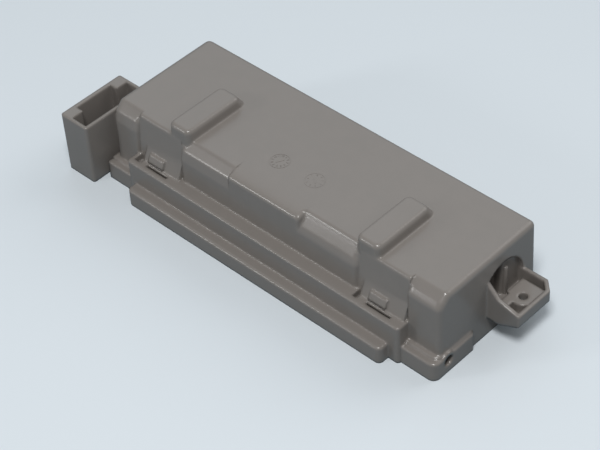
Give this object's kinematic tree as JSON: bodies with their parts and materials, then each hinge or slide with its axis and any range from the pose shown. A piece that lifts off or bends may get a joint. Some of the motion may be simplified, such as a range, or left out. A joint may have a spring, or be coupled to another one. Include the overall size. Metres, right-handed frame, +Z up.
{
  "type": "injection moulded plastic housing",
  "caption": "Hollow moulded electronics cover, open below, with raised pads, a stepped front ledge, catch recesses, a connector shroud at one end and a fixing ear at the other.",
  "frame": {"origin": "centre of the footprint on the plane of the foot rim", "axes": "+X along the body from the connector shroud to the fixing ear, +Y from the ledge front to the plain back, +Z up"},
  "size_m": [0.1974, 0.0644, 0.0407],
  "materials": {
    "housing": "satin warm grey moulded plastic"
  },
  "bodies": {
    "root": {"housing": "housing"}
  },
  "joints": []
}
